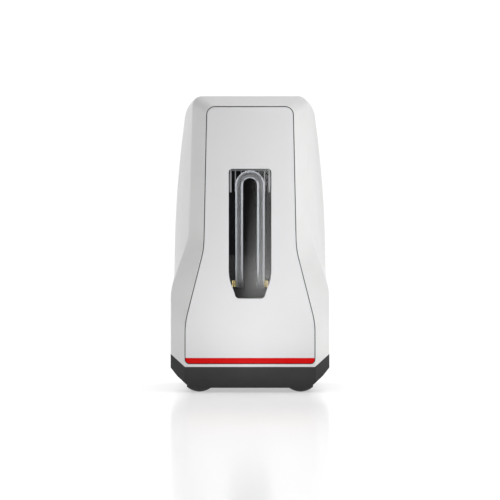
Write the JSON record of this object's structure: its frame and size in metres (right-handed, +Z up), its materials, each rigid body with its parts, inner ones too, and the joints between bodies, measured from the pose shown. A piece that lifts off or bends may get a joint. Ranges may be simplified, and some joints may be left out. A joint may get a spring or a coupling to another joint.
{
  "type": "benchtop density meter",
  "caption": "Small battery-powered density meter with a glass U-tube behind a front window, hose ports and a power button on its back, and a swinging battery door.",
  "frame": {"origin": "centre of the overall footprint, on the bench surface that the feet stand on", "axes": "+Z up, -Y towards the user (front window), +Y to the back with the ports, +X to the right of a user facing the front"},
  "size_m": [0.0678, 0.107, 0.1275],
  "materials": {
    "white_shell": "fine spark-eroded texture",
    "white_fascia": "smooth satin",
    "red_strip": "gloss",
    "window_glass": "clear",
    "black_rubber": "matt",
    "black_cell": "matt",
    "steel": "bright",
    "tube_glass": "clear borosilicate",
    "brass": "turned",
    "block_metal": "milled",
    "ceramic": "fired, silvered",
    "board_green": "solder mask",
    "board_blue": "solder mask",
    "connector_ivory": "moulded",
    "flex_amber": "film",
    "hose_silicone": "translucent",
    "port_plastic": "turned",
    "grey_tray": "fine spark-eroded texture",
    "button_grey": "satin",
    "black_part": "moulded",
    "led_white": "clear lens",
    "frame_grey": "moulded",
    "shield_metal": "tinned",
    "battery_skin": "printed sleeve, plain",
    "lead_red": "insulation",
    "foot_rubber": "matt"
  },
  "bodies": {
    "meter": {"housing": "white_shell", "front_fascia": "white_fascia", "accent_strip": "red_strip", "window_pane": "window_glass", "window_gasket": "black_rubber", "cell_housing": "black_cell", "cell_screws": "steel", "u_tube": "tube_glass", "tube_pins": "brass", "tube_block": "block_metal", "block_screws": "steel", "piezo_drive": "ceramic", "piezo_pickup": "ceramic", "temperature_sensor": "steel", "sensor_board": "board_green", "sensor_board_screws": "steel", "sensor_connector": "connector_ivory", "sensor_flex": "flex_amber", "inlet_hose": "hose_silicone", "outlet_hose": "hose_silicone", "inlet_port": "port_plastic", "outlet_port": "port_plastic", "port_seals": "black_rubber", "port_nuts": "steel", "rear_panel": "grey_tray", "tactile_switch": "black_part", "button_board": "board_green", "button_board_screws": "steel", "status_led": "led_white", "light_pipe": "window_glass", "button_cable": "black_rubber", "inner_frame": "frame_grey", "frame_screws": "steel", "main_board": "board_green", "board_screws": "steel", "microcontroller": "black_part", "radio_module": "board_blue", "radio_shield": "shield_metal", "board_connectors": "connector_ivory", "battery_1": "battery_skin", "battery_2": "battery_skin", "battery_3": "battery_skin", "battery_springs": "steel", "contact_plates": "steel", "battery_leads": "lead_red", "door_pin": "steel", "base_tray": "grey_tray", "housing_screws": "steel", "foot_front_left": "foot_rubber", "foot_front_right": "foot_rubber", "foot_rear_left": "foot_rubber", "foot_rear_right": "foot_rubber"},
    "button": {"power_button": "button_grey", "switch_plunger": "black_part"},
    "door": {"battery_door": "white_shell"}
  },
  "joints": [
    {"name": "power_button_press", "type": "slide", "parent": "meter", "child": "button", "axis": [0, -1, 0], "range_m": [0, 0.0007], "stiffness_N_per_m": 1200, "springref_m": -0.0006},
    {"name": "battery_door_swing", "type": "hinge", "parent": "meter", "child": "door", "pos_m": [-0.0235, 0.0449, 0.03735], "axis": [0, 0, 1], "range_deg": [0, 95]}
  ]
}
